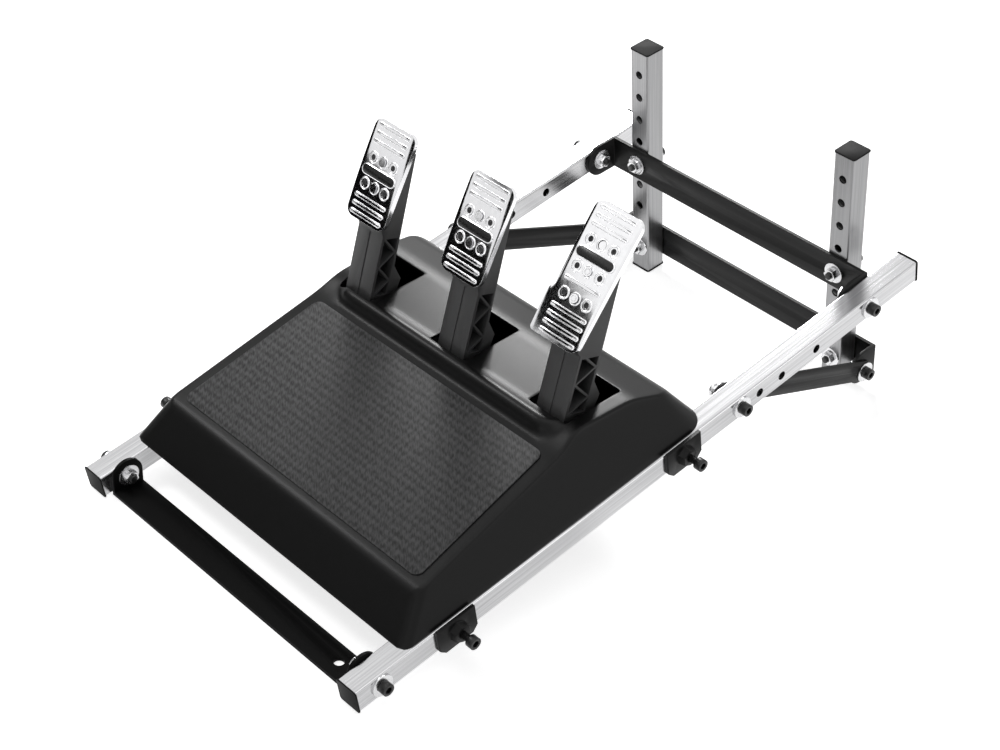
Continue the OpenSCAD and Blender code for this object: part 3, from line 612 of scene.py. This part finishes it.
def face_details(pedal):
    """Rings, bores, bars, blank inlay and screw heads of a pedal face, each kind as one piece."""
    m = face_matrix(pedal)
    length = FACES[pedal][4]
    gas = length == GAS_LENGTH
    node = pedal + "_face"
    bars = 4 if gas else 3
    first = BAR_EDGE + (bars - 1) * BAR_PITCH + BAR_TO_HOLES
    screws = [first, first + HOLE_PITCH]
    dots = screws + ([first + 2 * HOLE_PITCH] if gas else [])
    holes = [(x, z) for z in dots for x in (-HOLE_X, HOLE_X)]

    bm = bmesh.new()
    for at in holes:
        lathe(bm, m, at, RING)
    for z in screws:
        lathe(bm, m, (0, z), SCREW_RING)
    if gas:
        lathe(bm, m, (0, dots[-1]), RING)
    bm_piece(bm, pedal + "_dimples", node, POLISH, 60, pedal)

    bm = bmesh.new()
    for at in holes:
        lathe(bm, m, at, BORE)
    if gas:
        lathe(bm, m, (0, dots[-1]), BLIND_BORE)
    # Bore walls in dark metal: painted shade inside the holes
    bm_piece(bm, pedal + "_bores", node, PAINTED_BORE_SHADE, 60, pedal)

    bm = bmesh.new()
    low = [BAR_EDGE + BAR_PITCH * k for k in range(bars)]
    high = [length - BAR_EDGE - BAR_PITCH * k for k in range(3)]
    for z in low + high + ([first + HOLE_PITCH / 2] if gas else []):
        stadium(bm, m, (0, z), BAR)
    bm_piece(bm, pedal + "_bars", node, POLISH, 60, pedal)

    inlay = (0, first + (1.5 if gas else 0.5) * HOLE_PITCH)
    bm = bmesh.new()
    stadium(bm, m, inlay, FIELD)
    bm_piece(bm, pedal + "_blank_inlay", node, INLAY, 40, pedal)
    bm = bmesh.new()
    stadium(bm, m, inlay, FIELD_RIM, last=False)
    bm_piece(bm, pedal + "_inlay_rim", node, POLISH, 60, pedal)

    bm = bmesh.new()
    for z in screws:
        lathe(bm, m, (0, z), SCREW_HEAD)
    bm_piece(bm, pedal + "_screw_heads", pedal + "_face_screws", ZINC, 50)


for pedal in FACES:
    face_details(pedal)
    bowed_face(pedal)


# Floor, world and lamps
FLOOR_HALF, FLOOR_GREY, FLOOR_GLOW = 6.0, 0.85, 0.74
WORLD_LIGHT, WORLD_SEEN = 0.14, 1.0


def seen_ray(nt):
    """1 for rays that see the background: camera, glossy and transmission rays."""
    lp = nt.nodes.new("ShaderNodeLightPath")
    total = lp.outputs["Is Camera Ray"]
    for name in ("Is Glossy Ray", "Is Transmission Ray"):
        add = nt.nodes.new("ShaderNodeMath")
        add.operation = "ADD"
        add.use_clamp = True
        nt.links.new(total, add.inputs[0])
        nt.links.new(lp.outputs[name], add.inputs[1])
        total = add.outputs[0]
    return total


def make_floor():
    """White floor: lit by the lamps, so that it keeps the shadow, and glowing only where it is seen."""
    me = bpy.data.meshes.new("floor")
    s = FLOOR_HALF
    me.from_pydata([(-s, -s, 0), (s, -s, 0), (s, s, 0), (-s, s, 0)], [], [(0, 1, 2, 3)])
    ob = bpy.data.objects.new("floor", me)
    scene.collection.objects.link(ob)
    mat, nt, bsdf = new_material("floor_white", (FLOOR_GREY, FLOOR_GREY, FLOOR_GREY), 0.0, 0.9, 0.0)
    out = nt.nodes["Material Output"]
    add = nt.nodes.new("ShaderNodeAddShader")
    em = nt.nodes.new("ShaderNodeEmission")
    nt.links.new(spread(nt, seen_ray(nt), 0.0, FLOOR_GLOW, 0.0, 1.0), em.inputs["Strength"])
    nt.links.new(bsdf.outputs["BSDF"], add.inputs[0])
    nt.links.new(em.outputs["Emission"], add.inputs[1])
    nt.links.new(add.outputs["Shader"], out.inputs["Surface"])
    me.materials.append(mat)


def make_world():
    """White background where it is seen, and a weak fill light elsewhere."""
    world = bpy.data.worlds.new("world")
    scene.world = world
    world.use_nodes = True
    nt = world.node_tree
    bg = nt.nodes["Background"]
    bg.inputs["Color"].default_value = (1, 1, 1, 1)
    nt.links.new(spread(nt, seen_ray(nt), WORLD_LIGHT, WORLD_SEEN, 0.0, 1.0), bg.inputs["Strength"])


def area(name, loc, aim, size, power):
    """Rectangular lamp at loc, turned to aim."""
    data = bpy.data.lights.new(name, "AREA")
    data.shape = "RECTANGLE"
    data.size, data.size_y = size
    data.energy = power
    ob = bpy.data.objects.new(name, data)
    scene.collection.objects.link(ob)
    ob.location = loc
    ob.rotation_euler = (Vector(aim) - Vector(loc)).to_track_quat("-Z", "Y").to_euler()


def dark_card(name, centre, width, height):
    """Upright dark card outside the picture, facing the object: the polished pedal faces mirror it."""
    me = bpy.data.meshes.new(name)
    c = Vector(centre)
    side = Vector((-c.y, c.x, 0)).normalized() * (width / 2)
    up = Vector((0, 0, height / 2))
    me.from_pydata([c - side - up, c + side - up, c + side + up, c - side + up], [], [(0, 1, 2, 3)])
    ob = bpy.data.objects.new(name, me)
    scene.collection.objects.link(ob)
    mat, _, _ = new_material(name, grey(0.004), 0.0, 0.9, 0.0)
    me.materials.append(mat)
    ob.visible_camera = False
    ob.visible_diffuse = False
    ob.visible_shadow = False


make_floor()
make_world()
area("key", (-1.125, 1.09, 1.25), (-0.04, 0.02, 0.12), (0.42, 0.42), 21)
area("crest", (-0.94, -0.5, 1.13), (0.0, -0.1, 0.11), (0.34, 0.5), 5.2)
area("rail_top", (-1.16, 0.48, 1.52), (0.0, 0.0, 0.1), (1.5, 1.0), 0.7)
area("top", (0.3, -0.3, 2.4), (0, 0, 0), (1.6, 1.6), 8)
area("front_high", (-0.80, -1.05, 1.045), (0.0, 0.0, 1.045), (1.2, 0.57), 0.15)
area("front_low", (-0.80, -1.05, 0.452), (0.0, 0.0, 0.452), (1.2, 0.184), 0.62)
area("front_right", (0.2, -1.5, 0.3), (0.0, -0.03, 0.2), (0.7, 0.45), 1.3)
area("side", (2.0, 0.9, 1.0), (0, 0, 0.1), (1.0, 1.0), 5)
dark_card("dark_card", (-0.83, -1.09, 0.37), 2.9, 0.74)

scene.view_settings.view_transform = "Standard"
